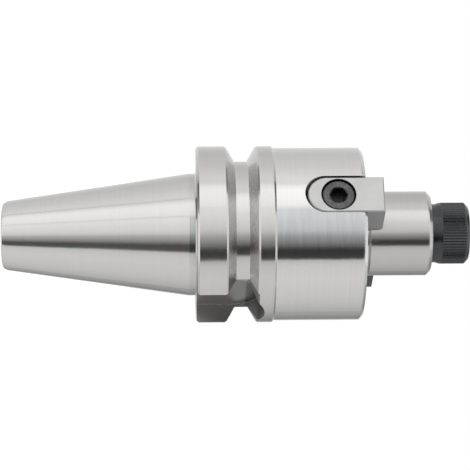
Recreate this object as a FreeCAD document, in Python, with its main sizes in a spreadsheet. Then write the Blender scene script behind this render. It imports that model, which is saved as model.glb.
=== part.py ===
import FreeCAD, Part
import os
import Sketcher

# Face mill holder with a 7/24 taper, two drive slots and a 22 mm cutter pilot.
# The holder's axis is Z. The origin is on that axis at the gauge line, where the taper
# has its nominal diameter. The taper points down and the pilot points up, in millimetres.

SIZES = [
    # taper and its end for the pull stud
    ("gauge_diameter", 31.75, "taper diameter at the gauge line"),
    ("taper_length", 48.4, "gauge line to the small end"),
    ("taper_drop", 7, "diameter lost over taper_run"),
    ("taper_run", 24, "length over which taper_drop is lost"),
    ("small_end_round", 1.6, "rounding of the small end, made of two slopes"),
    ("stud_pilot_diameter", 12.5, "plain bore that centres the pull stud"),
    ("stud_pilot_depth", 7, "depth of the plain bore"),
    ("stud_thread_bore", 10.2, "bore of the M12 thread"),
    ("stud_hole_depth", 34, "small end to the end of the M12 bore"),
    ("stud_chamfer", 0.4, "chamfer at the mouth of the plain bore"),
    # flange with gripper groove and drive slots
    ("land_length", 2, "gauge line to the back of the flange"),
    ("land_corner", 0.4, "bevel between the land and the flange"),
    ("flange_diameter", 46, "outside of the flange"),
    ("flange_length", 20, "back to front of the flange"),
    ("flange_chamfer", 0.5, "chamfer at the back of the flange"),
    ("edge_break", 0.3, "small chamfer at the mouth of the gripper groove"),
    ("groove_centre", 13.6, "gauge line to the middle of the gripper groove"),
    ("groove_width", 8, "width of the gripper groove at its mouth"),
    ("groove_depth", 4, "depth of the gripper groove"),
    ("groove_half_angle", 30, "half of the groove's angle, in degrees"),
    ("slot_width", 16.1, "width of a drive slot"),
    ("slot_floor_step", 0.425, "height of the slot's floor above the land"),
    ("slot_end_wall", 2.7, "slot's round end to the front of the flange"),
    # body and cutter pilot
    ("body_diameter", 45, "body in front of the flange"),
    ("body_length", 23, "front of the flange to the cutter's seat"),
    ("seat_bevel", 0.8, "bevel around the cutter's seat"),
    ("pilot_diameter", 22, "pilot that centres the cutter"),
    ("pilot_length", 18, "cutter's seat to the end of the pilot"),
    ("pilot_bevel", 1, "bevel at the end of the pilot"),
    ("undercut_width", 1.9, "relief at the root of the pilot"),
    ("undercut_depth", 0.5, "depth of that relief"),
    ("face_relief_width", 0.8, "recess of the cutter's seat around the pilot"),
    ("face_relief_depth", 0.2, "depth of that recess at the pilot"),
    # clamp screw and its tapped hole
    ("clamp_thread", 10, "outer diameter of the clamp screw's thread"),
    ("thread_gap", 0.05, "gap around a screw's shank in its tapped hole"),
    ("clamp_shank", 25, "length under the clamp screw's head"),
    ("clamp_tip", 0.4, "chamfer at the end of the clamp screw"),
    ("clamp_hole_spare", 4, "tapped hole beyond the end of the clamp screw"),
    ("clamp_head_diameter", 16, "outside of the knurl"),
    ("clamp_head_height", 10, "height of the clamp screw's head"),
    ("clamp_head_bevel", 0.9, "bevel at the top of the head"),
    ("neck_diameter", 15.3, "plain neck under the knurl"),
    ("neck_length", 1.5, "length of the plain neck"),
    ("neck_slope", 1.1, "length of the slope from the neck to the full head"),
    ("knurl_start", 2.9, "underside of the head to the knurl"),
    ("knurl_end", 1, "top of the head to the knurl"),
    ("knurl_teeth", 64, "teeth around the clamp screw's head"),
    ("knurl_depth", 0.28, "depth of the knurl"),
    ("clamp_hex", 8, "hexagon socket of the clamp screw, across its flats"),
    ("clamp_hex_depth", 5, "depth of that socket"),
    # drive keys in their pockets
    ("key_width", 10, "width of a drive key"),
    ("key_length", 19.5, "round end to front of a drive key"),
    ("key_projection", 4.5, "length of the key in front of the cutter's seat"),
    ("key_recess", 0.8, "body's surface to the top of the key"),
    ("key_pilot_gap", 1.3, "pilot's surface to the underside of the key"),
    ("key_edge", 0.3, "chamfer around the top of the key"),
    ("key_web", 4, "thickness of the key under its screw's head"),
    ("key_screw_inset", 7.85, "round end of the key to its screw"),
    ("pocket_side_gap", 0.25, "gap between the key and each side of its pocket"),
    ("pocket_end_gap", 0.7, "gap between the key's round end and its pocket"),
    # key screws
    ("key_thread", 5, "outer diameter of a key screw's thread"),
    ("key_shank", 8, "length under a key screw's head"),
    ("key_hole_spare", 1, "tapped hole beyond the end of a key screw"),
    ("key_head_diameter", 8.5, "head of a key screw"),
    ("key_head_height", 5, "height of that head"),
    ("key_head_bevel", 0.4, "bevel at the top of that head"),
    ("key_head_gap", 0.2, "gap around the head in its counterbore"),
    ("key_shank_gap", 0.25, "gap around the shank in the key"),
    ("key_hex", 4, "hexagon socket of a key screw, across its flats"),
    ("key_hex_depth", 2.6, "depth of that socket"),
    # shared by all cuts
    ("cut_margin", 1, "how far a cutting outline runs past the metal"),
]

doc = FreeCAD.newDocument("FaceMillHolder")
sheet = doc.addObject("Spreadsheet::Sheet", "Sizes")
for row, (alias, number, note) in enumerate(SIZES, start=1):
    sheet.set("A%d" % row, note)
    sheet.set("B%d" % row, str(number))
    sheet.setAlias("B%d" % row, alias)
doc.recompute()


def size(alias):
    """Expression that reads one cell of the sheet."""
    return "Sizes." + alias


def half(alias):
    """Expression for half of one cell."""
    return "(Sizes.%s / 2)" % alias


def value(expression):
    """Number that an expression stands for."""
    result = reader.evalExpression(expression)
    return float(getattr(result, "Value", result))


# an empty object whose only use is to evaluate expressions
reader = doc.addObject("App::FeaturePython", "Reader")

# places along the holder's axis and distances from it, worked out from the sheet
small_end = "(-Sizes.taper_length)"
flange_back = size("land_length")
flange_front = "(%s + Sizes.flange_length)" % flange_back
cutter_seat = "(%s + Sizes.body_length)" % flange_front
pilot_end = "(%s + Sizes.pilot_length)" % cutter_seat
taper_loss = "(Sizes.taper_length * Sizes.taper_drop / Sizes.taper_run)"
small_end_half = "((Sizes.gauge_diameter - %s) / 2)" % taper_loss
slot_floor = "(Sizes.gauge_diameter / 2 + Sizes.slot_floor_step)"
key_under = "(Sizes.pilot_diameter / 2 + Sizes.key_pilot_gap)"
key_height = "(Sizes.body_diameter / 2 - Sizes.key_recess - %s)" % key_under
key_round_end = "(%s + Sizes.key_projection - Sizes.key_length)" % cutter_seat
key_screw_place = "(%s + Sizes.key_screw_inset)" % key_round_end
hexagon_corner = "(2 / sqrt(3))"


def add_sketch(body, name, role, offset=None):
    """Sketch on one of the body's own origin planes, moved along its normal by offset."""
    sketch = body.newObject("Sketcher::SketchObject", name)
    plane = [feature for feature in body.Origin.OriginFeatures if feature.Role == role][0]
    sketch.AttachmentSupport = [(plane, "")]
    sketch.MapMode = "FlatFace"
    if offset is not None:
        sketch.setExpression("AttachmentOffset.Base.z", offset)
    return sketch


def hold(sketch, geometry, point, axis, expression):
    """Fix one coordinate of a point of the sketch to an expression."""
    place = value(expression)
    through_origin = {"X": -2, "Y": -1}[axis]
    if abs(place) < 1e-9:
        sketch.addConstraint(Sketcher.Constraint("PointOnObject", geometry, point, through_origin))
    elif place > 0:
        row = sketch.addConstraint(Sketcher.Constraint("Distance" + axis, -1, 1, geometry, point, place))
        sketch.setExpression("Constraints[%d]" % row, expression)
    else:
        row = sketch.addConstraint(Sketcher.Constraint("Distance" + axis, geometry, point, -1, 1, -place))
        sketch.setExpression("Constraints[%d]" % row, "-1 * %s" % expression)


def draw_outline(sketch, corners):
    """Closed outline of straight lines through corners, each a pair of expressions."""
    places = [FreeCAD.Vector(value(across), value(along), 0) for across, along in corners]
    count = len(places)
    for index in range(count):
        line = Part.LineSegment(places[index], places[(index + 1) % count])
        sketch.addGeometry(line, False)
    for index in range(count):
        sketch.addConstraint(Sketcher.Constraint("Coincident", index, 2, (index + 1) % count, 1))
    for index, (across, along) in enumerate(corners):
        hold(sketch, index, 1, "X", across)
        hold(sketch, index, 1, "Y", along)


def draw_circle(sketch, radius, along="0"):
    """Circle on the sketch's vertical axis."""
    centre = FreeCAD.Vector(0, value(along), 0)
    sketch.addGeometry(Part.Circle(centre, FreeCAD.Vector(0, 0, 1), value(radius)), False)
    hold(sketch, 0, 3, "X", "0")
    hold(sketch, 0, 3, "Y", along)
    row = sketch.addConstraint(Sketcher.Constraint("Radius", 0, value(radius)))
    sketch.setExpression("Constraints[%d]" % row, radius)


def draw_tongue(sketch, half_width, round_centre, straight_end):
    """Outline with two parallel sides, one half-round end and one straight end."""
    reach = value(half_width)
    centre = value(round_centre)
    end = value(straight_end)
    outward = 1 if end > centre else -1
    side = FreeCAD.Vector(reach, 0, 0)
    middle = FreeCAD.Vector(0, centre, 0)
    tip = FreeCAD.Vector(0, centre - outward * reach, 0)
    far = FreeCAD.Vector(0, end, 0)
    sketch.addGeometry(Part.LineSegment(middle + side, far + side), False)
    sketch.addGeometry(Part.LineSegment(far + side, far - side), False)
    sketch.addGeometry(Part.LineSegment(far - side, middle - side), False)
    sketch.addGeometry(Part.Arc(middle - side, tip, middle + side), False)
    arc_at_left, arc_at_right = (1, 2) if outward > 0 else (2, 1)
    sketch.addConstraint(Sketcher.Constraint("Coincident", 0, 2, 1, 1))
    sketch.addConstraint(Sketcher.Constraint("Coincident", 1, 2, 2, 1))
    sketch.addConstraint(Sketcher.Constraint("Coincident", 2, 2, 3, arc_at_left))
    sketch.addConstraint(Sketcher.Constraint("Coincident", 0, 1, 3, arc_at_right))
    sketch.addConstraint(Sketcher.Constraint("Horizontal", 1))
    sketch.addConstraint(Sketcher.Constraint("Vertical", 0))
    sketch.addConstraint(Sketcher.Constraint("Vertical", 2))
    hold(sketch, 3, 3, "X", "0")
    hold(sketch, 3, 3, "Y", round_centre)
    hold(sketch, 0, 1, "X", half_width)
    hold(sketch, 0, 1, "Y", round_centre)
    hold(sketch, 2, 2, "Y", round_centre)
    hold(sketch, 0, 2, "Y", straight_end)


def draw_hexagon(sketch, across_flats):
    """Regular hexagon around the origin, with two corners on the vertical axis."""
    flat = "(%s / 2)" % across_flats
    corner = "(%s * %s)" % (flat, hexagon_corner)
    middle = "(%s / 2)" % corner
    draw_outline(sketch, [
        ("0", corner),
        ("(-%s)" % flat, middle),
        ("(-%s)" % flat, "(-%s)" % middle),
        ("0", "(-%s)" % corner),
        (flat, "(-%s)" % middle),
        (flat, middle),
    ])


def turn(body, name, kind, corners):
    """Turned form (Revolution) or turned cut (Groove) about the body's Z axis."""
    sketch = add_sketch(body, name + "Sketch", "XZ_Plane")
    draw_outline(sketch, corners)
    feature = body.newObject("PartDesign::" + kind, name)
    feature.Profile = sketch
    feature.ReferenceAxis = (sketch, ["V_Axis"])
    feature.Angle = 360
    doc.recompute()
    return feature


def cut_to_depth(body, name, sketch, depth):
    """Pocket that goes against the sketch's normal for the given depth."""
    pocket = body.newObject("PartDesign::Pocket", name)
    pocket.Profile = sketch
    pocket.Type = "Length"
    pocket.setExpression("Length", depth)
    doc.recompute()
    return pocket


def repeat_around(body, name, feature, count):
    """Copies of one feature, evenly spaced about the body's Z axis."""
    axis = [entry for entry in body.Origin.OriginFeatures if entry.Role == "Z_Axis"][0]
    pattern = body.newObject("PartDesign::PolarPattern", name)
    pattern.Originals = [feature]
    pattern.Axis = (axis, [""])
    pattern.Angle = 360
    pattern.setExpression("Occurrences", count)
    body.Tip = pattern
    doc.recompute()
    return pattern


def edges_where(feature, test):
    """Names of the feature's edges of which every end and middle point passes the test."""
    names = []
    for number, edge in enumerate(feature.Shape.Edges, start=1):
        middle = edge.valueAt((edge.FirstParameter + edge.LastParameter) / 2)
        points = [vertex.Point for vertex in edge.Vertexes] + [middle]
        if all(test(point) for point in points):
            names.append("Edge%d" % number)
    return names


def near(first, second):
    return abs(first - second) < 1e-4


def on_circle(radius, height):
    """Test for points on a circle around the body's Z axis."""
    wanted_radius = value(radius)
    wanted_height = value(height)

    def test(point):
        distance = (point.x ** 2 + point.y ** 2) ** 0.5
        return near(point.z, wanted_height) and near(distance, wanted_radius)

    return test


def chamfer_edges(body, name, base, test, width):
    chamfer = body.newObject("PartDesign::Chamfer", name)
    chamfer.Base = (base, edges_where(base, test))
    chamfer.setExpression("Size", width)
    doc.recompute()
    return chamfer


def add_body(name):
    body = doc.addObject("PartDesign::Body", name)
    body.Label = name
    return body


def holder_blank(body):
    """Outer form as it is turned: taper, land, flange, body and pilot."""
    gauge_half = half("gauge_diameter")
    flange_half = half("flange_diameter")
    body_half = half("body_diameter")
    pilot_half = half("pilot_diameter")
    taper_gain = "(0.855 * Sizes.small_end_round * Sizes.taper_drop / Sizes.taper_run / 2)"

    def along_end(share):
        return "(%s + %s * Sizes.small_end_round)" % (small_end, share)

    blank = turn(body, "Blank", "Revolution", [
        ("0", small_end),
        ("(%s - 0.865 * Sizes.small_end_round)" % small_end_half, small_end),
        ("(%s - 0.21 * Sizes.small_end_round)" % small_end_half, along_end("0.244")),
        ("(%s + %s)" % (small_end_half, taper_gain), along_end("0.855")),
        (gauge_half, "0"),
        (gauge_half, "(%s - Sizes.land_corner)" % flange_back),
        ("(%s + Sizes.land_corner)" % gauge_half, flange_back),
        ("(%s - Sizes.flange_chamfer)" % flange_half, flange_back),
        (flange_half, "(%s + Sizes.flange_chamfer)" % flange_back),
        (flange_half, "(%s - abs(%s - %s))" % (flange_front, flange_half, body_half)),
        (body_half, flange_front),
        (body_half, cutter_seat),
        (pilot_half, cutter_seat),
        (pilot_half, pilot_end),
        ("0", pilot_end),
    ])
    for name, bevel, radius, height in [
        ("SeatBevel", "seat_bevel", body_half, cutter_seat),
        ("PilotBevel", "pilot_bevel", pilot_half, pilot_end),
    ]:
        blank = chamfer_edges(body, name, blank, on_circle(radius, height), size(bevel))


def gripper_groove(body):
    """V groove around the flange, with its mouth chamfered."""
    rim = half("flange_diameter")
    slope = "tan(Sizes.groove_half_angle * 1 deg)"
    mouth = half("groove_width")
    floor = "(%s - Sizes.groove_depth * %s)" % (mouth, slope)
    wide = "(%s + Sizes.edge_break)" % mouth
    chamfer_root = "(%s - Sizes.edge_break)" % rim
    mouth_at_root = "(%s - Sizes.edge_break * %s)" % (mouth, slope)
    outside = "(%s + Sizes.cut_margin)" % rim
    bottom = "(%s - Sizes.groove_depth)" % rim

    def at(offset, sign):
        return "(Sizes.groove_centre %s %s)" % (sign, offset)

    turn(body, "GripperGroove", "Groove", [
        (bottom, at(floor, "-")),
        (chamfer_root, at(mouth_at_root, "-")),
        (rim, at(wide, "-")),
        (outside, at(wide, "-")),
        (outside, at(wide, "+")),
        (rim, at(wide, "+")),
        (chamfer_root, at(mouth_at_root, "+")),
        (bottom, at(floor, "+")),
    ])


def pilot_undercut(body):
    """Relief at the root of the pilot and in the seat, so that the cutter seats on the face."""
    root = half("pilot_diameter")
    bottom = "(%s - Sizes.undercut_depth)" % root
    turn(body, "PilotUndercut", "Groove", [
        (bottom, "(%s - Sizes.face_relief_depth)" % cutter_seat),
        ("(%s + Sizes.face_relief_width)" % root, cutter_seat),
        (root, cutter_seat),
        (root, "(%s + Sizes.undercut_width)" % cutter_seat),
        (bottom, "(%s + Sizes.undercut_width - Sizes.undercut_depth)" % cutter_seat),
    ])


def drive_slots(body):
    """Two round-ended slots, milled from the side through the back of the flange."""
    outside = "(Sizes.flange_diameter / 2 + Sizes.cut_margin)"
    round_centre = "(%s - Sizes.slot_end_wall - Sizes.slot_width / 2)" % flange_front
    sketch = add_sketch(body, "DriveSlotSketch", "YZ_Plane", outside)
    draw_tongue(sketch, half("slot_width"), round_centre, "(-Sizes.cut_margin)")
    slot = cut_to_depth(body, "DriveSlot", sketch, "%s - %s" % (outside, slot_floor))
    repeat_around(body, "DriveSlots", slot, "2")


def key_pockets(body):
    """Two pockets, milled from the side and open at the cutter's seat, for the drive keys."""
    outside = "(Sizes.body_diameter / 2 + Sizes.cut_margin)"
    half_width = "(Sizes.key_width / 2 + Sizes.pocket_side_gap)"
    round_centre = "(%s - Sizes.pocket_end_gap + %s)" % (key_round_end, half_width)
    sketch = add_sketch(body, "KeyPocketSketch", "XZ_Plane", outside)
    draw_tongue(sketch, half_width, round_centre, "(%s + Sizes.cut_margin)" % cutter_seat)
    pocket = cut_to_depth(body, "KeyPocket", sketch, "%s - %s" % (outside, key_under))
    repeat_around(body, "KeyPockets", pocket, "2")


def key_screw_holes(body):
    """Tapped hole in the floor of each key pocket."""
    sketch = add_sketch(body, "KeyScrewHoleSketch", "XZ_Plane", key_under)
    draw_circle(sketch, half("key_thread"), key_screw_place)
    doc.recompute()
    hole = body.newObject("PartDesign::Hole", "KeyScrewHole")
    hole.Profile = sketch
    doc.recompute()
    hole.ThreadType = "None"
    hole.setExpression("Diameter", size("key_thread"))
    hole.DepthType = "Dimension"
    hole.setExpression("Depth", "Sizes.key_shank - Sizes.key_web + Sizes.key_hole_spare")
    hole.DrillPoint = "Flat"
    doc.recompute()
    repeat_around(body, "KeyScrewHoles", hole, "2")


def pull_stud_bore(body):
    """Plain bore and tapped bore in the small end."""
    mouth = half("stud_pilot_diameter")
    tapped = half("stud_thread_bore")
    shoulder = "(%s + Sizes.stud_pilot_depth)" % small_end
    bottom = "(%s + Sizes.stud_hole_depth)" % small_end
    turn(body, "PullStudBore", "Groove", [
        ("0", small_end),
        ("(%s + Sizes.stud_chamfer)" % mouth, small_end),
        (mouth, "(%s + Sizes.stud_chamfer)" % small_end),
        (mouth, shoulder),
        (tapped, shoulder),
        (tapped, bottom),
        ("0", bottom),
    ])


def clamp_screw_hole(body):
    """Tapped hole in the end of the pilot."""
    tapped = half("clamp_thread")
    bottom = "(%s - Sizes.clamp_shank - Sizes.clamp_hole_spare)" % pilot_end
    turn(body, "ClampScrewHole", "Groove", [
        ("0", pilot_end),
        (tapped, pilot_end),
        (tapped, bottom),
        ("0", bottom),
    ])


def holder_body():
    body = add_body("holder_body")
    holder_blank(body)
    gripper_groove(body)
    pilot_undercut(body)
    drive_slots(body)
    key_pockets(body)
    key_screw_holes(body)
    pull_stud_bore(body)
    clamp_screw_hole(body)
    return body


def seat_on_pocket(body, side, height):
    """Stand a key or its screw on a pocket's floor: side is -1 in front and 1 at the back."""
    upright = FreeCAD.Rotation(FreeCAD.Vector(1, 0, 0), 90)
    around = FreeCAD.Rotation(FreeCAD.Vector(0, 0, 1), 0 if side < 0 else 180)
    body.Placement = FreeCAD.Placement(FreeCAD.Vector(0, 0, 0), around.multiply(upright))
    body.setExpression("Placement.Base.y", "%d * (%s)" % (side, height))
    body.setExpression("Placement.Base.z", key_screw_place)


def drive_key(name, side):
    """Key with one round end. Its own origin is under its screw, with Z out of the holder."""
    body = add_body(name)
    sketch = add_sketch(body, "Outline" + name, "XY_Plane")
    round_centre = "(%s - Sizes.key_screw_inset)" % half("key_width")
    front = "(Sizes.key_length - Sizes.key_screw_inset)"
    draw_tongue(sketch, half("key_width"), round_centre, front)
    blank = body.newObject("PartDesign::Pad", "Blank" + name)
    blank.Profile = sketch
    blank.Type = "Length"
    blank.setExpression("Length", key_height)
    doc.recompute()
    top = value(key_height)
    chamfer_edges(body, "Edge" + name, blank, lambda point: near(point.z, top), size("key_edge"))

    hole_sketch = add_sketch(body, "HoleOutline" + name, "XY_Plane")
    draw_circle(hole_sketch, "(Sizes.key_thread / 2 + Sizes.key_shank_gap)")
    hole = body.newObject("PartDesign::Pocket", "ScrewHole" + name)
    hole.Profile = hole_sketch
    hole.Type = "ThroughAll"
    hole.Reversed = True

    seat_sketch = add_sketch(body, "SeatOutline" + name, "XY_Plane", key_height)
    draw_circle(seat_sketch, "(Sizes.key_head_diameter / 2 + Sizes.key_head_gap)")
    cut_to_depth(body, "HeadSeat" + name, seat_sketch, "%s - Sizes.key_web" % key_height)
    seat_on_pocket(body, side, key_under)
    return body


def hexagon_socket(body, name, across_flats, depth, head_height):
    sketch = add_sketch(body, name + "Outline", "XY_Plane", head_height)
    draw_hexagon(sketch, across_flats)
    cut_to_depth(body, name, sketch, depth)


def key_screw(name, side):
    """Socket head cap screw that holds one drive key."""
    body = add_body(name)
    head_half = half("key_head_diameter")
    head_top = size("key_head_height")
    shank_half = "(Sizes.key_thread / 2 - Sizes.thread_gap)"
    blank = turn(body, "Blank" + name, "Revolution", [
        ("0", "(-Sizes.key_shank)"),
        (shank_half, "(-Sizes.key_shank)"),
        (shank_half, "0"),
        (head_half, "0"),
        (head_half, head_top),
        ("0", head_top),
    ])
    chamfer_edges(body, "HeadBevel" + name, blank, on_circle(head_half, head_top),
                  size("key_head_bevel"))
    hexagon_socket(body, "Socket" + name, size("key_hex"), size("key_hex_depth"), head_top)
    seat_on_pocket(body, side, "%s + Sizes.key_web" % key_under)
    return body


def knurl(body):
    """Straight knurl: one V notch along the head, repeated around it."""
    outside = half("clamp_head_diameter")
    beyond = "(%s + Sizes.cut_margin)" % outside
    root = "(%s - Sizes.knurl_depth)" % outside
    pitch = "(2 * pi * %s / Sizes.knurl_teeth)" % outside
    spread = "(%s / 2 * (Sizes.knurl_depth + Sizes.cut_margin) / Sizes.knurl_depth)" % pitch
    top = "(Sizes.clamp_head_height - Sizes.knurl_end)"
    sketch = add_sketch(body, "KnurlNotchOutline", "XY_Plane", top)
    draw_outline(sketch, [
        (root, "0"),
        (beyond, "(-%s)" % spread),
        (beyond, spread),
    ])
    notch = cut_to_depth(body, "KnurlNotch", sketch, "%s - Sizes.knurl_start" % top)
    repeat_around(body, "Knurl", notch, size("knurl_teeth"))


def clamp_screw():
    """Clamp screw with a knurled head. Its own origin is under its head."""
    body = add_body("clamp_screw")
    head_half = half("clamp_head_diameter")
    head_top = size("clamp_head_height")
    neck_half = half("neck_diameter")
    shank_half = "(Sizes.clamp_thread / 2 - Sizes.thread_gap)"
    blank = turn(body, "ClampBlank", "Revolution", [
        ("0", "(-Sizes.clamp_shank)"),
        ("(%s - Sizes.clamp_tip)" % shank_half, "(-Sizes.clamp_shank)"),
        (shank_half, "(Sizes.clamp_tip - Sizes.clamp_shank)"),
        (shank_half, "0"),
        (neck_half, "0"),
        (neck_half, size("neck_length")),
        (head_half, "(Sizes.neck_length + Sizes.neck_slope)"),
        (head_half, head_top),
        ("0", head_top),
    ])
    chamfer_edges(body, "ClampHeadBevel", blank, on_circle(head_half, head_top),
                  size("clamp_head_bevel"))
    knurl(body)
    hexagon_socket(body, "ClampSocket", size("clamp_hex"), size("clamp_hex_depth"), head_top)
    body.setExpression("Placement.Base.z", pilot_end)
    return body


def check_document():
    """Stop if anything in the document failed, or a cut took nothing away."""
    for entry in doc.Objects:
        if "Invalid" in entry.State or "Error" in entry.State:
            raise RuntimeError("%s failed" % entry.Name)
    for feature in doc.Objects:
        if feature.TypeId in ("PartDesign::Pocket", "PartDesign::Groove", "PartDesign::Hole"):
            if feature.Shape.Volume >= feature.BaseFeature.Shape.Volume - 1e-6:
                raise RuntimeError("%s cuts nothing" % feature.Name)


def write_parts(bodies):
    os.makedirs("parts", exist_ok=True)
    for body in bodies:
        shape = body.Shape
        if shape.isNull() or not shape.isValid() or len(shape.Solids) != 1:
            raise RuntimeError("%s is not one valid solid" % body.Label)
        shape.exportStep("parts/%s.step" % body.Label)
        print(body.Label, "volume %.1f mm3" % shape.Volume)


bodies = [
    holder_body(),
    drive_key("drive_key_front", -1),
    drive_key("drive_key_rear", 1),
    key_screw("key_screw_front", -1),
    key_screw("key_screw_rear", 1),
    clamp_screw(),
]
doc.recompute()
check_document()
write_parts(bodies)
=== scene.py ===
import math

import bpy
from mathutils import Matrix, Vector


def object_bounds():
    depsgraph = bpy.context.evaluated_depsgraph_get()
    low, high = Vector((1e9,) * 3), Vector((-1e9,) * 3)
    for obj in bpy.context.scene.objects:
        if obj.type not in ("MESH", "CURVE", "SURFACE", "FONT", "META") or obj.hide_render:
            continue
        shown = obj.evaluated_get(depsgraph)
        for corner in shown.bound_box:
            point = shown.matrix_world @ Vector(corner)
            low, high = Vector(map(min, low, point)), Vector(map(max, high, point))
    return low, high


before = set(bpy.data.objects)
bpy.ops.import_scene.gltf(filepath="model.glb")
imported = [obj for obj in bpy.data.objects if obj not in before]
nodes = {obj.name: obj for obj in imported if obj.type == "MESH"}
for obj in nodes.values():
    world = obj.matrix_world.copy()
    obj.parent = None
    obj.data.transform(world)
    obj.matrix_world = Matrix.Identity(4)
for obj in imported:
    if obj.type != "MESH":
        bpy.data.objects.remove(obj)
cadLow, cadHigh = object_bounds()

# Face mill holder, standing on the small end of its taper. The camera is rolled a quarter
# turn, so that the holder lies across the picture as it does in the photograph.

print("holder loaded:", ", ".join(sorted(nodes)))


# helpers for node trees; column and row only place a node in the editor

def addNode(tree, kind, column, row, **settings):
    node = tree.nodes.new(kind)
    node.location = (column * 190, -row * 170)
    for name, value in settings.items():
        setattr(node, name, value)
    return node


def feed(tree, socket, value):
    # a value is another node's output, a number, or a tuple
    if isinstance(value, bpy.types.NodeSocket):
        tree.links.new(value, socket)
    else:
        socket.default_value = value


def calc(tree, operation, first, second=0.0, clamp=False, column=0, row=0):
    node = addNode(tree, "ShaderNodeMath", column, row, operation=operation, use_clamp=clamp)
    feed(tree, node.inputs[0], first)
    feed(tree, node.inputs[1], second)
    return node.outputs[0]


def plus(tree, first, second, column=0, row=0):
    return calc(tree, "ADD", first, second, column=column, row=row)


def times(tree, first, second, column=0, row=0):
    return calc(tree, "MULTIPLY", first, second, column=column, row=row)


def weighted(tree, pairs, column=0, row=0):
    # the sum of each value times its weight
    total = None
    for step, (value, weight) in enumerate(pairs):
        part = times(tree, value, weight, column, row + step)
        total = part if total is None else plus(tree, total, part, column + step, row)
    return total


def within(tree, value, start, end, soft, column=0, row=0):
    # 1 between start and end, with soft flanks of this width
    rise = calc(tree, "SUBTRACT", value, start, column=column, row=row)
    rise = calc(tree, "DIVIDE", rise, soft, clamp=True, column=column + 1, row=row)
    fall = calc(tree, "SUBTRACT", end, value, column=column, row=row + 1)
    fall = calc(tree, "DIVIDE", fall, soft, clamp=True, column=column + 1, row=row + 1)
    return times(tree, rise, fall, column + 2, row)


def remap(tree, value, fromLow, fromHigh, toLow, toHigh, column=0, row=0):
    node = addNode(tree, "ShaderNodeMapRange", column, row, clamp=True)
    limits = {"From Min": fromLow, "From Max": fromHigh, "To Min": toLow, "To Max": toHigh}
    for name, number in limits.items():
        node.inputs[name].default_value = number
    feed(tree, node.inputs["Value"], value)
    return node.outputs["Result"]


def blendColours(tree, factor, first, second, column=0, row=0, way="MIX"):
    node = addNode(tree, "ShaderNodeMix", column, row, data_type="RGBA", blend_type=way)
    feed(tree, node.inputs[0], factor)
    feed(tree, node.inputs[6], first)
    feed(tree, node.inputs[7], second)
    return node.outputs[2]


def onVectors(tree, operation, values, column=0, row=0):
    node = addNode(tree, "ShaderNodeVectorMath", column, row, operation=operation)
    for name, value in values.items():
        feed(tree, node.inputs[name], value)
    return node.outputs


def splitPoint(tree, point, column=0, row=0):
    node = addNode(tree, "ShaderNodeSeparateXYZ", column, row)
    feed(tree, node.inputs[0], point)
    return node.outputs


def addNoise(tree, point, scale, detail, column=0, row=0, dimensions="3D"):
    node = addNode(tree, "ShaderNodeTexNoise", column, row, noise_dimensions=dimensions)
    feed(tree, node.inputs["Vector"], point)
    feed(tree, node.inputs["Scale"], scale)
    node.inputs["Detail"].default_value = detail
    return node


def newGroup(name, inputs, outputs):
    # every group reads a point; inputs are names with their start values
    group = bpy.data.node_groups.new(name, "ShaderNodeTree")
    sockets = group.interface
    sockets.new_socket(name="Point", in_out="INPUT", socket_type="NodeSocketVector")
    for label, start in inputs.items():
        socket = sockets.new_socket(name=label, in_out="INPUT", socket_type="NodeSocketFloat")
        socket.default_value = start
    for label in outputs:
        kind = "NodeSocketVector" if label == "Normal" else "NodeSocketFloat"
        sockets.new_socket(name=label, in_out="OUTPUT", socket_type=kind)
    given = addNode(group, "NodeGroupInput", -6, 0)
    made = addNode(group, "NodeGroupOutput", 8, 0)
    return group, given.outputs, made.inputs


def useGroup(tree, group, values, column=0, row=0):
    node = addNode(tree, "ShaderNodeGroup", column, row)
    node.node_tree = group
    node.label = group.name
    for name, value in values.items():
        feed(tree, node.inputs[name], value)
    return node.outputs


def placeMasks(tree, places, areas, column, row):
    # one mask for each area, 1 where every measure of the point lies in its stretch
    masks = {}
    for name, stretches in areas.items():
        mask = None
        for measure, start, end, soft in stretches:
            part = within(tree, places[measure], start, end, soft, column, row)
            mask = part if mask is None else times(tree, mask, part, column + 3, row)
            row += 2
        masks[name] = mask
    return masks


def emptyMaterial(name):
    material = bpy.data.materials.new(name)
    material.use_nodes = True
    material.node_tree.nodes.clear()
    return material, material.node_tree


def showSurface(tree, shader, column):
    output = addNode(tree, "ShaderNodeOutputMaterial", column, 0)
    tree.links.new(shader, output.inputs["Surface"])


def newMaterial(name):
    material, tree = emptyMaterial(name)
    point = addNode(tree, "ShaderNodeTexCoord", -10, 0).outputs["Object"]
    shader = addNode(tree, "ShaderNodeBsdfPrincipled", 12, 0)
    showSurface(tree, shader.outputs[0], 14)
    return material, tree, point, shader.inputs


def addBump(tree, height, distance, strength, normal, column=0, row=0):
    bump = addNode(tree, "ShaderNodeBump", column, row)
    bump.inputs["Strength"].default_value = strength
    bump.inputs["Distance"].default_value = distance
    feed(tree, bump.inputs["Height"], height)
    feed(tree, bump.inputs["Normal"], normal)
    return bump.outputs[0]


def grey(level, warmth=0.0):
    return (level * (1 + warmth), level, level * (1 - warmth), 1.0)


# effects shared by the materials

perMetre = 1000.0                     # millimetres in a metre
black = grey(0.0)

effectLook = {
    "lineDetail": 3.0,
    "lineRoughness": 0.65,
    "lineContrast": (0.25, 0.75),     # part of the noise that goes from no line to a full one
    "grainDetail": 4.0,
    "stainDetail": 3.0,
    "grainContrast": (0.3, 0.7),
    "edgeSamples": 4,
    "edgeContrast": (0.01, 0.12),     # how far the normal turns where the paler edge starts and is full
    "brokenScale": 900.0,             # how fine the breaks in a bright edge are
    "brokenDetail": 3.0,
    "threadContrast": (0.1, 0.9),     # flat root and flat crest of a thread
}


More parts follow.
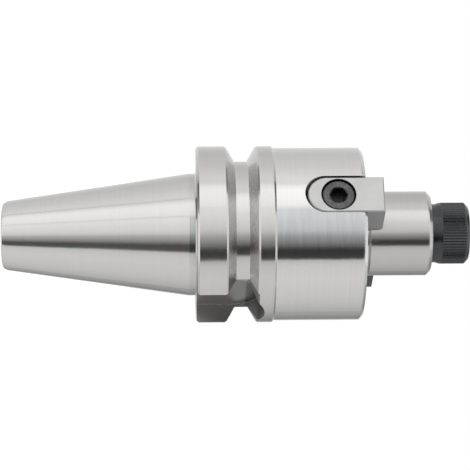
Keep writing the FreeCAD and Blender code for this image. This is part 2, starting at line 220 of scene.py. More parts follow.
def buildTurnedPlaces():
    # a point in metres becomes its radius and height in millimetres, and its turn around the
    # axis in parts of a whole turn
    group, given, made = newGroup("turnedPlaces", {},
                                  ("Radius", "Height", "Turn", "Across X", "Across Y"))
    larger = onVectors(group, "SCALE", {0: given["Point"], "Scale": perMetre}, -4, 0)
    x, y, z = splitPoint(group, larger[0], -3, 0)
    squares = plus(group, times(group, x, x, -2, 0), times(group, y, y, -2, 1), -1, 0)
    feed(group, made["Radius"], calc(group, "SQRT", squares, column=0))
    feed(group, made["Height"], z)
    turn = calc(group, "ARCTAN2", y, x, column=-1, row=2)
    feed(group, made["Turn"], calc(group, "DIVIDE", turn, math.tau, column=0, row=2))
    feed(group, made["Across X"], calc(group, "ABSOLUTE", x, column=0, row=3))
    feed(group, made["Across Y"], calc(group, "ABSOLUTE", y, column=0, row=4))
    return group


def buildTurningLines(turnedPlaces):
    # fine rings around the axis, as a lathe or a grinding wheel leaves them
    group, given, made = newGroup("turningLines", {"Lines Per Millimetre": 4.0, "Drift": 30.0},
                                  ("Lines",))
    places = useGroup(group, turnedPlaces, {"Point": given["Point"]}, -4, 0)
    drift = onVectors(group, "SCALE", {0: given["Point"], "Scale": given["Drift"]}, -4, 2)
    along = plus(group, places["Height"], places["Radius"], -3, 1)
    along = times(group, along, given["Lines Per Millimetre"], -2, 1)
    noise = addNoise(group, drift[0], 1.0, effectLook["lineDetail"], -1, 0, "4D")
    feed(group, noise.inputs["W"], along)
    noise.inputs["Roughness"].default_value = effectLook["lineRoughness"]
    lines = remap(group, noise.outputs[0], *effectLook["lineContrast"], 0.0, 1.0, 1, 0)
    feed(group, made["Lines"], lines)
    return group


def buildSurfaceGrain():
    # even fine grain, and broad faint stains from handling and oil; sizes in millimetres
    group, given, made = newGroup("surfaceGrain", {"Grain Size": 0.15, "Stain Size": 12.0},
                                  ("Grain", "Stains"))
    for row, size, output, detail in ((0, "Grain Size", "Grain", effectLook["grainDetail"]),
                                      (2, "Stain Size", "Stains", effectLook["stainDetail"])):
        scale = calc(group, "DIVIDE", perMetre, given[size], column=-3, row=row)
        noise = addNoise(group, given["Point"], scale, detail, -1, row)
        spots = remap(group, noise.outputs[0], *effectLook["grainContrast"], 0.0, 1.0, 1, row)
        feed(group, made[output], spots)
    return group


def buildEdgeWearAndHighlight():
    # bright, slightly broken edges, partly wear where handling has polished them and partly painted
    # highlight; width in millimetres
    group, given, made = newGroup("edgeWearAndHighlight", {"Width": 0.2, "Broken": 0.5}, ("Wear And Highlight", "Normal"))
    rounded = addNode(group, "ShaderNodeBevel", -4, 0, samples=effectLook["edgeSamples"])
    radius = calc(group, "DIVIDE", given["Width"], perMetre, column=-5, row=1)
    feed(group, rounded.inputs["Radius"], radius)
    geometry = addNode(group, "ShaderNodeNewGeometry", -4, 1)
    facing = onVectors(group, "DOT_PRODUCT",
                       {0: rounded.outputs[0], 1: geometry.outputs["Normal"]}, -3, 0)
    turned = calc(group, "SUBTRACT", 1.0, facing["Value"], clamp=True, column=-2)
    edge = remap(group, turned, *effectLook["edgeContrast"], 0.0, 1.0, -1, 0)
    noise = addNoise(group, given["Point"], effectLook["brokenScale"],
                     effectLook["brokenDetail"], -2, 2)
    broken = times(group, noise.outputs[0], given["Broken"], 0, 2)
    whole = calc(group, "SUBTRACT", 1.0, broken, clamp=True, column=1, row=2)
    feed(group, made["Wear And Highlight"], times(group, edge, whole, 2, 0))
    feed(group, made["Normal"], rounded.outputs[0])
    return group


def buildScrewThread(turnedPlaces):
    # height of a V thread around the axis, 0 in its groove and 1 on its crest
    group, given, made = newGroup("screwThread", {"Pitch": 1.5}, ("Thread",))
    places = useGroup(group, turnedPlaces, {"Point": given["Point"]}, -4, 0)
    steps = calc(group, "DIVIDE", places["Height"], given["Pitch"], column=-3)
    steps = calc(group, "SUBTRACT", steps, places["Turn"], column=-2)
    part = calc(group, "FRACT", steps, column=-1)
    fall = calc(group, "SUBTRACT", part, 0.5, column=0)
    fall = times(group, calc(group, "ABSOLUTE", fall, column=1), 2.0, 2, 0)
    feed(group, made["Thread"], remap(group, fall, *effectLook["threadContrast"], 0.0, 1.0, 3, 0))
    return group


turnedPlaces = buildTurnedPlaces()
turningLines = buildTurningLines(turnedPlaces)
surfaceGrain = buildSurfaceGrain()
edgeWearAndHighlight = buildEdgeWearAndHighlight()
screwThread = buildScrewThread(turnedPlaces)
print("shared effects built")


# ground and milled steel of the holder; an area is a list of measures, each with its start,
# its end and the softness of its border, in millimetres

holderFinish = {
    "steel": grey(0.72, 0.012),       # ground taper, land and flange
    "bodySteel": grey(0.80, 0.010),   # finely ground body
    "pilotSteel": grey(0.64, 0.014),  # the pilot is a little darker than the body
    "milledSteel": grey(0.42, 0.012),    # drive slots
    "slotEndShade": grey(0.25, 0.012),   # round end of a drive slot, darker: painted shade
    "pocketPaintedLight": grey(0.80, 0.010),    # walls and floor of the key pockets, paler than the slots: painted light that lifts the dark gap around the keys
    "boreSteel": grey(0.34, 0.010),      # drilled and tapped holes
    "backFaceShade": grey(0.30, 0.012),  # flange's back face, darker with painted shade where it meets the land
    "wearAndHighlightTone": grey(0.90),
    "lineTone": 0.04,                 # how much the lines darken the steel
    "grainTone": 0.04,
    "grooveWallShade": 0.04,           # painted shade: how much darker the groove's two sloping walls are
    "landTone": 0.03,                 # how much darker the land behind the flange is
    "roughness": (0.11, 0.15),        # on the lines and between them
    "stainRoughness": 0.03,
    "bodyRoughness": -0.03,           # how much duller the body is, below 0 for smoother
    "pilotRoughness": 0.05,
    "flangeRoughness": 0.03,
    "grooveRoughness": 0.09,          # walls of the gripper groove
    "grooveFloorRoughness": 0.01,
    "milledRoughness": 0.38,
    "paintedReflectionTone": (0.79, 0.81, 0.835, 1.0),  # painted reflection: a cooler, darker band on body and land, where a dark panel is mirrored
    "paintedReflectionStart": (-0.2276, -0.2176),  # its first border, in parts of a turn from +X
    "paintedReflectionEnd": (-0.1530, -0.1330),    # its last border
    "paintedReflectionStreaks": 0.42,              # how uneven the band is
    "paintedReflectionContrast": (0.25, 0.75),     # streaks that thin the band most, and not at all
    "linesPerMillimetre": 3.2,
    "lineDrift": 30.0,                # how soon a line changes on its way around
    "lineDepth": 0.000004,
    "lineStrength": 0.6,
    "streaksPerMillimetre": 0.8,      # broader grinding streaks of body and flange
    "streakDrift": 75.0,
    "streakDepth": 0.000018,
    "flangeStreaks": 0.6,             # how deep they are on the flange, against the body
    "grainSize": 0.15,
    "stainSize": 12.0,
    "waviness": 0.00002,              # height of the slow waves in the ground surface
    "edgeWidth": 0.18,
    "wearAndHighlightShare": 0.6,
    "bevelRounding": 0.7,             # how far the bevels of seat and pilot are rounded
    "smallEndRounding": 0.5,          # how far the edge of the small end is rounded
    "smallEndBlend": 0.85,            # how far its slopes are polished into the taper
    "taperSlope": 0.1458,             # half of 7/24
    "anisotropy": 0.9,
    "anisotropyTurn": 0.25,           # a quarter turn, so that the shine spreads across the rings
    "studPitch": 1.75,                # M12 thread in the small end
    "clampPitch": 1.5,                # M10 thread in the pilot
    "threadDepth": 0.0007,
    "areas": {
        "slot": [("Across Y", -1.0, 8.1, 0.02), ("Across X", 16.2, 24.0, 0.02),
                 ("Height", 1.98, 19.4, 0.02), ("Radius", 10.0, 22.97, 0.02)],
        "slotEnd": [("Height", 14.5, 20.0, 0.3)],
        "pocket": [("Across X", -1.0, 5.3, 0.02), ("Across Y", 12.2, 24.0, 0.02),
                   ("Height", 29.2, 46.0, 0.02), ("Radius", 10.0, 22.47, 0.02)],
        "bore": [("Radius", -1.0, 6.6, 0.05), ("Height", -48.3, 62.9, 0.05)],
        "land": [("Height", 0.05, 2.0, 0.1)],
        "backFace": [("Height", 1.5, 2.1, 0.05), ("Radius", 16.25, 22.3, 0.05)],
        "flange": [("Height", 1.9, 21.9, 0.1)],
        "grooveWalls": [("Height", 9.2, 18.0, 0.1), ("Radius", 19.1, 22.7, 0.1)],
        "grooveFloor": [("Height", 11.6, 15.6, 0.1), ("Radius", 18.0, 19.1, 0.1)],
        "body": [("Height", 21.9, 45.1, 0.1)],
        "bodyRim": [("Height", 21.9, 45.1, 0.1), ("Radius", 21.9, 23.0, 0.1)],
        "seatBevel": [("Height", 43.4, 45.1, 0.3), ("Radius", 21.0, 23.0, 0.3)],
        "pilot": [("Height", 45.1, 63.1, 0.1)],
        "pilotBevel": [("Height", 61.4, 63.2, 0.3), ("Radius", 9.4, 11.2, 0.2)],
        "smallEnd": [("Height", -60.0, -46.0, 0.3)],
        "smallEndEdge": [("Height", -60.0, -46.0, 0.3), ("Radius", 8.0, 12.0, 0.4)],
        "studThread": [("Radius", 4.0, 5.3, 0.05), ("Height", -41.3, -15.0, 0.2)],
        "clampThread": [("Radius", 4.0, 5.3, 0.05), ("Height", 34.5, 62.9, 0.2)],
    },
}


def paintedReflectionMask(tree, look, area, turn, streaks):
    # painted reflection: a darker band on body and land, where a dark panel is mirrored, thinner
    # along the streaks
    uneven = remap(tree, streaks, *look["paintedReflectionContrast"], 1.0 - look["paintedReflectionStreaks"], 1.0, -1, 16)
    rise = remap(tree, turn, *look["paintedReflectionStart"], 0.0, 1.0, -1, 17)
    fall = remap(tree, turn, *look["paintedReflectionEnd"], 1.0, 0.0, -1, 18)
    bodyAndLand = calc(tree, "MAXIMUM", area["bodyRim"], area["land"], column=-1, row=19)
    paintedReflection = times(tree, times(tree, rise, fall, 0, 17), bodyAndLand, 1, 17)
    return times(tree, paintedReflection, uneven, 2, 16)


def taperedNormal(tree, look, point, radius, column, row):
    # the normal that the taper would have at this point
    x, y, z = splitPoint(tree, point, column, row)
    outward = addNode(tree, "ShaderNodeCombineXYZ", column + 1, row)
    feed(tree, outward.inputs[0], x)
    feed(tree, outward.inputs[1], y)
    lean = times(tree, radius, -look["taperSlope"] / perMetre, column, row + 1)
    feed(tree, outward.inputs[2], lean)
    return onVectors(tree, "NORMALIZE", {0: outward.outputs[0]}, column + 2, row)[0]


def makeHolderSteel():
    look = holderFinish
    material, tree, point, shader = newMaterial("ground_steel_rings")
    places = useGroup(tree, turnedPlaces, {"Point": point}, -9, 0)
    area = placeMasks(tree, places, look["areas"], -7, 20)
    lines = useGroup(tree, turningLines, {
        "Point": point, "Lines Per Millimetre": look["linesPerMillimetre"],
        "Drift": look["lineDrift"]}, -4, 0)["Lines"]
    streaks = useGroup(tree, turningLines, {
        "Point": point, "Lines Per Millimetre": look["streaksPerMillimetre"],
        "Drift": look["streakDrift"]}, -4, 2)["Lines"]
    grain = useGroup(tree, surfaceGrain, {
        "Point": point, "Grain Size": look["grainSize"], "Stain Size": look["stainSize"]}, -4, 4)

    # edges: wider where a bevel or the small end is rounded
    bevels = calc(tree, "MAXIMUM", area["seatBevel"], area["pilotBevel"], column=-3, row=6)
    bevels = times(tree, bevels, look["bevelRounding"], -2, 6)
    width = remap(tree, area["smallEnd"], 0.0, 1.0, look["edgeWidth"], look["smallEndRounding"],
                  -2, 7)
    width = calc(tree, "MAXIMUM", width, bevels, column=-1, row=6)
    wearAndHighlight = useGroup(tree, edgeWearAndHighlight, {"Point": point, "Width": width}, 0, 6)

    # colour: steel, then the painted reflection band, the cuts and the bright edges of wear and
    # painted highlight
    tone = blendColours(tree, area["body"], look["steel"], look["bodySteel"], 0, -1)
    tone = blendColours(tree, area["pilot"], tone, look["pilotSteel"], 1, -1)
    shade = weighted(tree, [
        (lines, look["lineTone"]), (grain["Grain"], look["grainTone"]),
        (area["grooveWalls"], look["grooveWallShade"]), (area["land"], look["landTone"])], -2, -6)
    tone = blendColours(tree, shade, tone, black, 2, -1, "MULTIPLY")
    paintedReflection = paintedReflectionMask(tree, look, area, places["Turn"], streaks)
    tone = blendColours(tree, paintedReflection, tone, look["paintedReflectionTone"], 3, -1, "MULTIPLY")
    # painted shade darkens the round end of each drive slot
    cutTone = blendColours(tree, area["slotEnd"], look["milledSteel"], look["slotEndShade"], 2, -2)
    # painted light: the pockets are paler than the slots, so the narrow gap around each key renders
    # lighter
    cutTone = blendColours(tree, area["pocket"], cutTone, look["pocketPaintedLight"], 3, -2)
    milled = calc(tree, "MAXIMUM", area["slot"], area["pocket"], column=3, row=-3)
    tone = blendColours(tree, milled, tone, cutTone, 4, -1)
    tone = blendColours(tree, area["backFace"], tone, look["backFaceShade"], 5, -1)
    tone = blendColours(tree, area["bore"], tone, look["boreSteel"], 6, -1)
    share = calc(tree, "SUBTRACT", look["wearAndHighlightShare"], area["smallEnd"], clamp=True,
                 column=5, row=-2)
    edge = times(tree, wearAndHighlight["Wear And Highlight"], share, 6, -2)
    feed(tree, shader["Base Color"], blendColours(tree, edge, tone, look["wearAndHighlightTone"], 7, -1))

    # roughness: rings, faint stains, and duller pilot, groove and cuts
    rough = remap(tree, lines, 0.0, 1.0, *look["roughness"], 2, 2)
    rough = plus(tree, rough, times(tree, grain["Stains"], look["stainRoughness"], 2, 3), 3, 2)
    duller = weighted(tree, [
        (area["grooveWalls"], look["grooveRoughness"]),
        (area["grooveFloor"], look["grooveFloorRoughness"]),
        (area["pilot"], look["pilotRoughness"]), (area["body"], look["bodyRoughness"]),
        (area["flange"], look["flangeRoughness"])], -2, 10)
    rough = plus(tree, rough, duller, 4, 2)
    cut = calc(tree, "MAXIMUM", milled, area["bore"], column=4, row=4)
    extra = calc(tree, "SUBTRACT", look["milledRoughness"], rough, column=5, row=3)
    feed(tree, shader["Roughness"], plus(tree, rough, times(tree, extra, cut, 6, 3), 7, 2))

    # relief: waves, streaks, rings, and threads in the two tapped holes
    uncut = calc(tree, "SUBTRACT", 1.0, cut, column=4, row=7)
    waves = times(tree, grain["Stains"], uncut, 5, 6)
    ground = times(tree, area["flange"], look["flangeStreaks"], 3, 8)
    ground = calc(tree, "MAXIMUM", area["body"], ground, column=4, row=8)
    ground = times(tree, times(tree, streaks, ground, 5, 8), uncut, 6, 8)
    studThread = useGroup(tree, screwThread, {"Point": point, "Pitch": look["studPitch"]}, 3, 10)
    clampThread = useGroup(tree, screwThread, {"Point": point, "Pitch": look["clampPitch"]}, 3, 11)
    threads = plus(tree, times(tree, studThread["Thread"], area["studThread"], 4, 10),
                   times(tree, clampThread["Thread"], area["clampThread"], 4, 11), 5, 10)
    polished = times(tree, area["smallEndEdge"], look["smallEndBlend"], 3, 13)
    blended = addNode(tree, "ShaderNodeMix", 5, 13, data_type="VECTOR")
    feed(tree, blended.inputs[0], polished)
    feed(tree, blended.inputs[4], wearAndHighlight["Normal"])
    feed(tree, blended.inputs[5], taperedNormal(tree, look, point, places["Radius"], 1, 14))
    normal = addBump(tree, waves, look["waviness"], 1.0, blended.outputs[1], 7, 6)
    normal = addBump(tree, ground, look["streakDepth"], 1.0, normal, 8, 6)
    normal = addBump(tree, threads, look["threadDepth"], 1.0, normal, 9, 6)
    normal = addBump(tree, lines, look["lineDepth"], look["lineStrength"], normal, 10, 6)
    feed(tree, shader["Normal"], normal)

    shader["Metallic"].default_value = 1.0
    shader["Anisotropic"].default_value = look["anisotropy"]
    shader["Anisotropic Rotation"].default_value = look["anisotropyTurn"]
    around = addNode(tree, "ShaderNodeTangent", 10, 4, direction_type="RADIAL", axis="Z")
    feed(tree, shader["Tangent"], around.outputs[0])
    return material


def fromScrewAxis(tree, places, screwHeight, column, row):
    # the square of the distance to a key screw's axis, in square millimetres
    along = calc(tree, "SUBTRACT", places["Height"], screwHeight, column=column, row=row)
    along = times(tree, along, along, column + 1, row)
    across = times(tree, places["Across X"], places["Across X"], column + 1, row + 1)
    return plus(tree, along, across, column + 2, row)


# matte grey drive keys

keyFinish = {
    "steel": grey(0.68, 0.006),
    "sideSteel": grey(0.43, 0.006),   # milled long sides, darker than the ground top
    "rearSidePaintedShade": grey(0.15, 0.006),  # the same sides on the rear key, much darker: painted shade
    "screwSeatShade": grey(0.16),          # counterbore around the screw's head, darkened: painted shade in the gap
    "screwHeight": 37.85,             # screw's place along the holder's axis
    "seatRadius": 4.5,
    "seatBorder": 0.03,
    "roughness": (0.40, 0.52),
    "grainSize": 0.12,
    "stainSize": 5.0,
    "grainDepth": 0.000012,
    "grainStrength": 0.5,
    "grainTone": 0.20,
    "edgeWidth": 0.15,
    "wearAndHighlightShare": 0.6,
    "wearAndHighlightTone": grey(0.80),
    "areas": {"sides": [("Across X", 4.98, 9.0, 0.01)]},
}


def makeKeySteel(name, sideSteel):
    look = keyFinish
    material, tree, point, shader = newMaterial(name)
    places = useGroup(tree, turnedPlaces, {"Point": point}, -9, 4)
    area = placeMasks(tree, places, look["areas"], -7, 4)
    grain = useGroup(tree, surfaceGrain, {
        "Point": point, "Grain Size": look["grainSize"], "Stain Size": look["stainSize"]}, -4, 0)
    wearAndHighlight = useGroup(tree, edgeWearAndHighlight, {"Point": point, "Width": look["edgeWidth"]}, -4, 2)
    squares = fromScrewAxis(tree, places, look["screwHeight"], -7, 7)
    distance = calc(tree, "SQRT", squares, column=-4, row=7)
    seatShade = within(tree, distance, -1.0, look["seatRadius"], look["seatBorder"], -3, 7)

    tone = blendColours(tree, area["sides"], look["steel"], sideSteel, 1, -1)
    shade = times(tree, grain["Grain"], look["grainTone"], 1, 0)
    tone = blendColours(tree, shade, tone, black, 2, -1, "MULTIPLY")
    tone = blendColours(tree, seatShade, tone, look["screwSeatShade"], 3, -1)
    # paler edges: partly wear, partly painted highlight
    edge = times(tree, wearAndHighlight["Wear And Highlight"], look["wearAndHighlightShare"], 3, 0)
    feed(tree, shader["Base Color"], blendColours(tree, edge, tone, look["wearAndHighlightTone"], 4, -1))
    feed(tree, shader["Roughness"], remap(tree, grain["Stains"], 0.0, 1.0, *look["roughness"], 4, 1))
    normal = addBump(tree, grain["Grain"], look["grainDepth"], look["grainStrength"],
                     wearAndHighlight["Normal"], 4, 3)
    feed(tree, shader["Normal"], normal)
    shader["Metallic"].default_value = 1.0
    return material


# black screws

keyScrewFinish = {
    "black": grey(0.010),
    "speck": grey(0.16),              # grey specks of the blasted head
    "speckShare": 0.9,
    "wornAndHighlight": grey(0.20),
    "gloss": 1.75,                    # refraction of the oily black layer
    "shineColour": grey(1.0),
    "roughness": (0.22, 0.40),
    "grainSize": 0.45,
    "stainSize": 4.0,
    "grainDepth": 0.00004,
    "grainStrength": 0.7,
    "edgeWidth": 0.10,
    "wearAndHighlightShare": 0.35,
    "socket": 0.70,                   # painted shade: how much darker and duller the hexagon and its mouth are inside
    "socketShadeRadius": 2.4,
    "socketShadeBorder": 0.2,
    "screwHeight": 37.85,             # screw's place along the holder's axis
    "areas": {"head": [("Across Y", 17.0, 22.0, 0.05)]},
}

clampScrewFinish = {
    "black": grey(0.004, -0.05),
    "speck": grey(0.016, -0.05),
    "speckShare": 0.6,
    "wornAndHighlight": grey(0.22, -0.02),
    "gloss": 1.73,
    "shineColour": (0.93, 0.96, 1.0, 1.0),
    "roughness": (0.10, 0.20),
    "knurlRoughness": 0.10,           # how much duller the knurl is than the plain parts
    "grainSize": 0.10,
    "stainSize": 4.0,
    "grainDepth": 0.000008,
    "grainStrength": 0.5,
    "edgeWidth": 0.14,
    "wearAndHighlightShare": 0.50,
    "headRounding": 0.6,              # how far the end of the head is rounded
    "pitch": 1.5,                     # M10 thread on the shank
    "threadDepth": 0.0007,
    "areas": {
        "knurl": [("Height", 65.8, 72.0, 0.1)],
        "headEnd": [("Height", 71.7, 74.0, 0.2), ("Radius", 6.0, 9.0, 0.2)],
        "thread": [("Radius", 4.2, 5.1, 0.05), ("Height", 30.0, 62.9, 0.2)],
    },
}


def addBlackLayer(tree, point, shader, look, edgeWidth):
    # black layer with specks, bright edges that are partly wear and partly painted highlight, and an
    # uneven shine
    grain = useGroup(tree, surfaceGrain, {
        "Point": point, "Grain Size": look["grainSize"], "Stain Size": look["stainSize"]}, -4, 0)
    wearAndHighlight = useGroup(tree, edgeWearAndHighlight, {"Point": point, "Width": edgeWidth}, -1, 2)
    specks = times(tree, grain["Grain"], grain["Stains"], 0, -1)
    specks = times(tree, specks, look["speckShare"], 1, -1)
    edge = times(tree, wearAndHighlight["Wear And Highlight"], look["wearAndHighlightShare"], 2, 0)
    tone = blendColours(tree, specks, look["black"], look["speck"], 2, -1)
    tone = blendColours(tree, edge, tone, look["wornAndHighlight"], 3, -1)
    rough = remap(tree, grain["Grain"], 0.0, 1.0, *look["roughness"], 2, 1)
    shader["IOR"].default_value = look["gloss"]
    shader["Specular Tint"].default_value = look["shineColour"]
    return tone, rough, grain["Grain"], wearAndHighlight["Normal"]


def makeKeyScrewSteel():
    look = keyScrewFinish
    material, tree, point, shader = newMaterial("black_steel_socket")
    tone, rough, grain, normal = addBlackLayer(tree, point, shader, look, look["edgeWidth"])
    places = useGroup(tree, turnedPlaces, {"Point": point}, -9, 4)
    area = placeMasks(tree, places, look["areas"], -7, 4)
    squares = fromScrewAxis(tree, places, look["screwHeight"], -7, 7)
    # painted shade inside the hexagon socket and around its mouth
    socket = within(tree, squares, -1.0, look["socketShadeRadius"] ** 2, look["socketShadeBorder"], -4, 7)
    socket = times(tree, times(tree, socket, area["head"], 0, 6), look["socket"], 1, 6)
    tone = blendColours(tree, socket, tone, black, 4, -1, "MULTIPLY")
    feed(tree, shader["Base Color"], tone)
    feed(tree, shader["Roughness"], rough)
    feed(tree, shader["Metallic"], socket)  # a metal of a dark colour shines less than oil
    normal = addBump(tree, grain, look["grainDepth"], look["grainStrength"], normal, 4, 3)
    feed(tree, shader["Normal"], normal)
    return material


def makeClampScrewSteel():
    look = clampScrewFinish
    material, tree, point, shader = newMaterial("black_steel_knurled")
    places = useGroup(tree, turnedPlaces, {"Point": point}, -9, 4)
    area = placeMasks(tree, places, look["areas"], -7, 4)
    width = remap(tree, area["headEnd"], 0.0, 1.0, look["edgeWidth"], look["headRounding"], -2, 3)
    tone, rough, grain, normal = addBlackLayer(tree, point, shader, look, width)
    feed(tree, shader["Base Color"], tone)
    knurl = times(tree, area["knurl"], look["knurlRoughness"], 2, 2)
    feed(tree, shader["Roughness"], plus(tree, rough, knurl, 3, 1))
    thread = useGroup(tree, screwThread, {"Point": point, "Pitch": look["pitch"]}, -1, 5)
    height = times(tree, thread["Thread"], area["thread"], 0, 5)
    normal = addBump(tree, height, look["threadDepth"], 1.0, normal, 3, 3)
    normal = addBump(tree, grain, look["grainDepth"], look["grainStrength"], normal, 4, 3)
    feed(tree, shader["Normal"], normal)
    return material


def giveMaterial(material, *names):
    for name in names:
        piece = nodes[name]
        piece.data.materials.clear()
        piece.data.materials.append(material)


giveMaterial(makeHolderSteel(), "holder_body")
print("holder's steel given")
giveMaterial(makeKeySteel("key_steel_front", keyFinish["sideSteel"]), "drive_key_front")
# the rear key is a shaded copy of the front key's steel: its sides carry painted shade
giveMaterial(makeKeySteel("key_steel_rear_shaded", keyFinish["rearSidePaintedShade"]), "drive_key_rear")
print("keys' steel given")
giveMaterial(makeKeyScrewSteel(), "key_screw_front", "key_screw_rear")
giveMaterial(makeClampScrewSteel(), "clamp_screw")
print("screws' steel given")


# camera

cameraPlace = {
    "azimuth": 27.5,          # degrees around the holder, from the front key towards +X
    "tilt": 2.223,            # degrees below the horizontal
    "roll": -0.330,           # degrees, after the quarter turn
    "distance": 0.600,
    "lookAt": 0.01220,        # height on the holder's axis
    "aside": -0.000167,       # towards the top of the picture
    "focalPixels": 2295.7,    # focal length, for a picture of this many pixels across
    "pixels": 470,
    "sensorWidth": 36.0,
    "clipping": (0.01, 50.0),
}


def placeCamera():
    place = cameraPlace
    turn = math.radians(place["azimuth"])
    tilt = math.radians(place["tilt"])
    roll = math.radians(place["roll"])
    axis = Vector((0, 0, 1))
    towards = Vector((math.sin(turn), -math.cos(turn), 0))
    upwards = towards.cross(axis)
    right = axis * math.cos(tilt) + towards * math.sin(tilt)
    back = towards * math.cos(tilt) - axis * math.sin(tilt)
    rolledRight = right * math.cos(roll) + upwards * math.sin(roll)
    rolledUp = upwards * math.cos(roll) - right * math.sin(roll)
    target = axis * place["lookAt"] + upwards * place["aside"]
    data = bpy.data.cameras.new("photoCamera")
    data.sensor_width = place["sensorWidth"]
    data.lens = place["sensorWidth"] * place["focalPixels"] / place["pixels"]
    data.clip_start, data.clip_end = place["clipping"]
    camera = bpy.data.objects.new("photoCamera", data)
    bpy.context.scene.collection.objects.link(camera)
    camera.rotation_euler = Matrix((rolledRight, rolledUp, back)).transposed().to_euler()
    camera.location = target + back * place["distance"]
    bpy.context.scene.camera = camera
    return towards, upwards


towardsCamera, pictureUp = placeCamera()
print("camera placed")


# studio: white world, a ring of light panels, cards at its ends, pale floor and soft lamp

worldLook = {
    "light": 0.85,            # what lights matte surfaces from above
}


def makeWorld():
    world = bpy.data.worlds.new("studioWorld")
    bpy.context.scene.world = world
    world.use_nodes = True
    tree = world.node_tree
    tree.nodes.clear()
    rays = addNode(tree, "ShaderNodeLightPath", -3, 0).outputs
    seen = calc(tree, "MAXIMUM", rays["Is Camera Ray"], rays["Is Glossy Ray"], column=-2)
    seen = calc(tree, "MAXIMUM", seen, rays["Is Transmission Ray"], column=-1)
    background = addNode(tree, "ShaderNodeBackground", 1, 0)
    background.inputs["Color"].default_value = grey(1.0)
    level = remap(tree, seen, 0.0, 1.0, worldLook["light"], 1.0, 0, 1)
    feed(tree, background.inputs["Strength"], level)
    output = addNode(tree, "ShaderNodeOutputWorld", 2, 0)
    tree.links.new(background.outputs[0], output.inputs["Surface"])


# Directions are in degrees around the axis from the camera, and up is towards the top of
# the picture. Lengths are in metres.
wallLook = {
    "radius": 1.5,
    "height": 4.0,
    "sides": 180,
    # where a panel starts or ends, how bright it is there, and how warm its colour is
    "panels": [
        (-180, 0.80, 0), (-154, 0.26, 0), (-140, 0.37, 0), (-130, 0.45, 0), (-116, 0.57, 0),
        (-104, 0.65, 0), (-90, 0.70, 0), (-60, 0.77, 0), (-48, 0.74, 0), (-40, 0.69, 0),
        (-34.8, 0.58, 0), (-33.4, 0.11, 0), (-31, 0.055, 0), (-22, 0.045, 0.02), (-19, 0.075, 0.02),
        (-16, 0.17, 0), (-12, 0.27, 0), (-4, 0.44, 0), (0, 0.57, 0), (4, 0.73, 0), (10, 0.82, 0),
        (28, 0.98, 0), (33.5, 0.99, 0), (35.5, 1.08, 0), (50, 1.19, 0), (60, 1.22, 0),
        (66, 1.09, 0), (70, 0.91, 0), (80, 0.89, 0), (100, 0.75, 0), (130, 0.66, 0), (180, 0.80, 0),
    ],
    "lowLight": 0.74,         # below 1, the low part of the wall is lighter and flatter
    "lowHeights": (-0.35, -0.10),  # where the low part is full, and where it has ended
    # what differs on the low part, which the taper shows: a direction, a width, and how dark
    # it is there; below 0 is lighter
    "lowGaps": [(73, 2.6, 0.30), (36, 2.2, 0.24), (16, 34, -0.05)],
    "gapBorder": 0.5,
    # a shaded stretch towards both ends, which the gripper groove shows
    "endShade": 0.70,
    "endDirections": (70, 125),
    "endBorder": 8,
    "endHeights": (0.80, 1.05),
}


def addPanelRamp(tree, angle):
    # brightness of the panels by their direction
    ramp = addNode(tree, "ShaderNodeValToRGB", -2, 0)
    feed(tree, ramp.inputs[0], remap(tree, angle, -math.pi, math.pi, 0.0, 1.0, -3, 0))
    stops = ramp.color_ramp.elements
    stops.remove(stops[-1])
    first, *others = wallLook["panels"]
    stops[0].position = 0.0
    stops[0].color = grey(first[1], first[2])
    for direction, level, warmth in others:
        stops.new(0.5 + direction / 360).color = grey(level, warmth)
    return ramp.outputs[0]


def makePanelWall():
    # an open ring around the holder that only lights it and shows in its reflections
    look = wallLook
    bpy.ops.object.select_all(action="DESELECT")
    bpy.ops.mesh.primitive_cylinder_add(vertices=look["sides"], radius=look["radius"],
                                        depth=look["height"], end_fill_type="NOTHING",
                                        location=(0, 0, 0))
    wall = bpy.context.object
    wall.name = "lightPanelWall"
    wall.visible_camera = False
    wall.visible_shadow = False
    material, tree = emptyMaterial("lightPanels")
    point = addNode(tree, "ShaderNodeTexCoord", -6, 0).outputs["Object"]
    up = onVectors(tree, "DOT_PRODUCT", {0: point, 1: pictureUp}, -5, 0)["Value"]
    near = onVectors(tree, "DOT_PRODUCT", {0: point, 1: towardsCamera}, -5, 1)["Value"]
    angle = calc(tree, "ARCTAN2", up, near, column=-4)
    height = splitPoint(tree, point, -4, 2)["Z"]

    soften = addNode(tree, "ShaderNodeGamma", -1, 0)
    feed(tree, soften.inputs["Color"], addPanelRamp(tree, angle))
    gamma = remap(tree, height, *look["lowHeights"], look["lowLight"], 1.0, -2, 2)
    feed(tree, soften.inputs["Gamma"], gamma)

    low = remap(tree, height, *look["lowHeights"], 1.0, 0.0, -2, 3)
    strength = 1.0
    for row, (direction, width, darkness) in enumerate(look["lowGaps"]):
        start, end = math.radians(direction - width / 2), math.radians(direction + width / 2)
        gap = within(tree, angle, start, end, math.radians(look["gapBorder"]), -2, 4 + row * 2)
        gap = times(tree, times(tree, gap, low, 1, 4 + row), darkness, 2, 4 + row)
        strength = calc(tree, "SUBTRACT", strength, gap, column=3, row=4 + row)
    start, end = (math.radians(direction) for direction in look["endDirections"])
    shade = within(tree, angle, start, end, math.radians(look["endBorder"]), -2, 12)
    outer = calc(tree, "ABSOLUTE", height, column=-2, row=14)
    outer = remap(tree, outer, *look["endHeights"], 0.0, look["endShade"], -1, 14)
    strength = calc(tree, "SUBTRACT", strength, times(tree, shade, outer, 2, 12), column=4, row=8)

    glow = addNode(tree, "ShaderNodeEmission", 5, 0)
    feed(tree, glow.inputs["Color"], soften.outputs[0])
    feed(tree, glow.inputs["Strength"], strength)
    showSurface(tree, glow.outputs[0], 6)
    wall.data.materials.append(material)


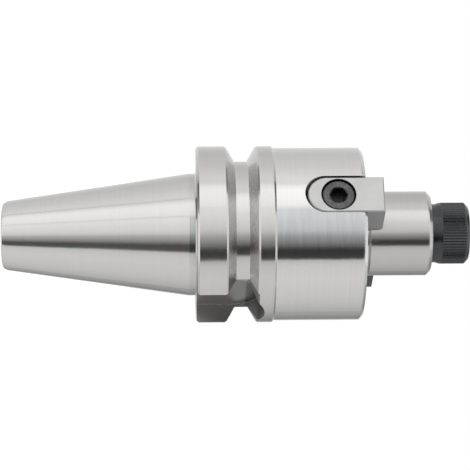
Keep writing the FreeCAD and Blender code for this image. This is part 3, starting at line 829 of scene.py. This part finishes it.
# cards across both ends of the wall, which only the chamfers and the gripper groove show:
# where each starts and ends up the picture and towards the camera, in metres, and its level
cardLook = {
    "darkCard": {"up": (0.50, 1.50), "near": (-1.50, 0.15), "level": 0.15},
    "paleCard": {"up": (-1.50, -0.66), "near": (-1.50, 1.50), "level": 0.65},
}


def makeEndCards():
    turn = math.atan2(pictureUp.y, pictureUp.x)
    for look in cardLook.values():
        low, high = look["up"]
        back, front = look["near"]
        material, tree = emptyMaterial("endCard")
        glow = addNode(tree, "ShaderNodeEmission", 0, 0)
        glow.inputs["Color"].default_value = grey(look["level"])
        showSurface(tree, glow.outputs[0], 1)
        for end in (-1, 1):
            bpy.ops.object.select_all(action="DESELECT")
            place = pictureUp * (low + high) / 2 + towardsCamera * (back + front) / 2
            place += Vector((0, 0, end * wallLook["height"] / 2))
            bpy.ops.mesh.primitive_plane_add(size=1.0, location=place, rotation=(0, 0, turn))
            card = bpy.context.object
            card.name = "endCard"
            card.scale = (high - low, front - back, 1)
            card.visible_camera = False
            card.visible_diffuse = False
            card.visible_shadow = False
            card.data.materials.append(material)


floorLook = {
    "size": 8.0,
    "tone": 0.80,             # what lights the holder from below
    "glow": 0.94,             # with the light on it, the floor comes out white
    "shade": 0.22,            # how much of the holder's shadow shows
}


def makeFloor():
    look = floorLook
    bpy.ops.object.select_all(action="DESELECT")
    bpy.ops.mesh.primitive_plane_add(size=look["size"], location=(0, 0, cadLow.z))
    floor = bpy.context.object
    floor.name = "studioFloor"
    floor.visible_glossy = False
    material, tree = emptyMaterial("paleFloor")
    rays = addNode(tree, "ShaderNodeLightPath", -3, 0).outputs
    seen = calc(tree, "MAXIMUM", rays["Is Camera Ray"], rays["Is Transmission Ray"], column=-2)
    plain = addNode(tree, "ShaderNodeBsdfDiffuse", -2, 1)
    plain.inputs["Color"].default_value = grey(look["tone"])
    shade = addNode(tree, "ShaderNodeBsdfDiffuse", -2, 2)
    shade.inputs["Color"].default_value = grey(look["shade"])
    glow = addNode(tree, "ShaderNodeEmission", -2, 3)
    glow.inputs["Strength"].default_value = look["glow"]
    white = addNode(tree, "ShaderNodeAddShader", -1, 2)
    feed(tree, white.inputs[0], shade.outputs[0])
    feed(tree, white.inputs[1], glow.outputs[0])
    both = addNode(tree, "ShaderNodeMixShader", 0, 0)
    feed(tree, both.inputs[0], seen)
    feed(tree, both.inputs[1], plain.outputs[0])
    feed(tree, both.inputs[2], white.outputs[0])
    showSurface(tree, both.outputs[0], 1)
    floor.data.materials.append(material)


lampLook = {
    "power": 2.0,
    "size": 0.7,
    "distance": 1.0,
    "direction": (0.8, 0.6, 0.3),  # up the picture, towards the camera and along the axis
}


def makeLamp():
    data = bpy.data.lights.new("softLamp", "AREA")
    data.shape = "SQUARE"
    data.size = lampLook["size"]
    data.energy = lampLook["power"]
    lamp = bpy.data.objects.new("softLamp", data)
    bpy.context.scene.collection.objects.link(lamp)
    up, near, along = lampLook["direction"]
    direction = (pictureUp * up + towardsCamera * near + Vector((0, 0, along))).normalized()
    lamp.location = direction * lampLook["distance"]
    lamp.rotation_euler = direction.to_track_quat("Z", "Y").to_euler()
    lamp.visible_glossy = False


makeWorld()
makePanelWall()
makeEndCards()
makeFloor()
makeLamp()
bpy.context.scene.view_settings.view_transform = "Standard"
print("studio built")
